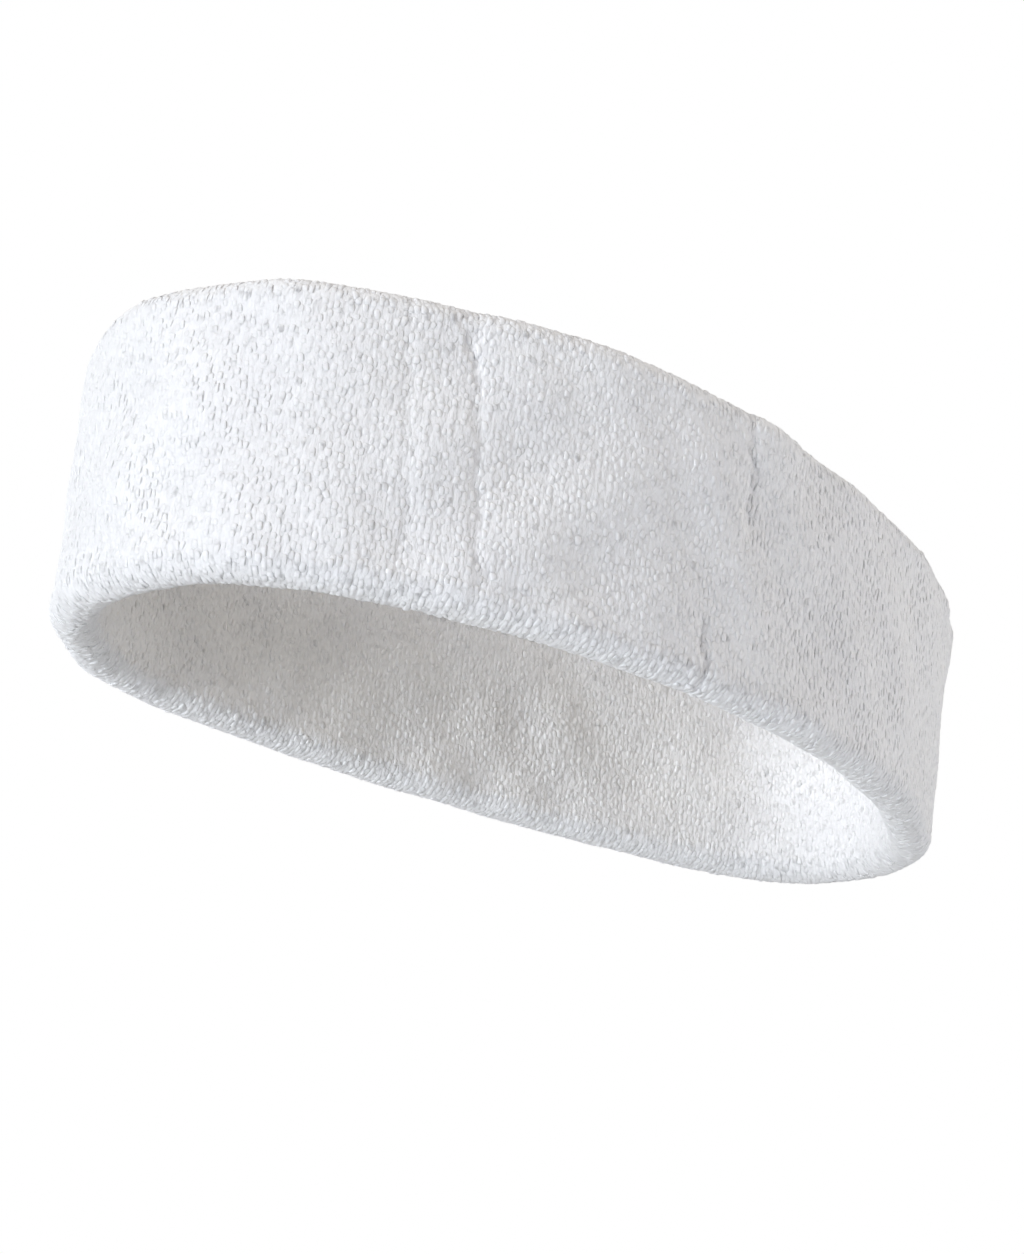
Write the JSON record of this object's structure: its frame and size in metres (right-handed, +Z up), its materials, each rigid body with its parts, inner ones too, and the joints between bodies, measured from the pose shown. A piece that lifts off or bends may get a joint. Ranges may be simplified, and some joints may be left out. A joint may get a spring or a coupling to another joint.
{
  "type": "sports headband",
  "caption": "Stretchy terry headband for sport: a folded double band of looped cotton over rubber yarns, closed by a seam inside its top fold.",
  "frame": {"origin": "middle of the oval in plan, on the surface that the lower fold rests on", "axes": "+X along the oval's length to the narrower front end, +Y to the flatter flank, +Z up along the band's axis"},
  "size_m": [0.2014, 0.1072, 0.055],
  "materials": {
    "cotton_loops": "white looped cotton terry, matt and soft",
    "ground_knit": "white plain knit, nylon and cotton, matt",
    "rubber_yarn": "off-white rubber covered with nylon yarn, matt",
    "sewing_thread": "white textured polyester thread, slight sheen"
  },
  "bodies": {
    "rear_half": {"terry_pile_rear": "cotton_loops", "ground_knit_rear": "ground_knit", "rubber_yarns_outer_rear": "rubber_yarn", "rubber_yarns_inner_rear": "rubber_yarn", "seam_upper_looper_rear": "sewing_thread", "seam_lower_looper_rear": "sewing_thread", "seam_needle_thread_rear": "sewing_thread", "seam_tack": "sewing_thread"},
    "front_half": {"terry_pile_front": "cotton_loops", "ground_knit_front": "ground_knit", "rubber_yarns_outer_front": "rubber_yarn", "rubber_yarns_inner_front": "rubber_yarn", "seam_upper_looper_front": "sewing_thread", "seam_lower_looper_front": "sewing_thread", "seam_needle_thread_front": "sewing_thread"}
  },
  "joints": [
    {"name": "band_stretch", "type": "slide", "parent": "rear_half", "child": "front_half", "axis": [1, 0, 0], "range_m": [0, 0.07], "stiffness_N_per_m": 140}
  ]
}
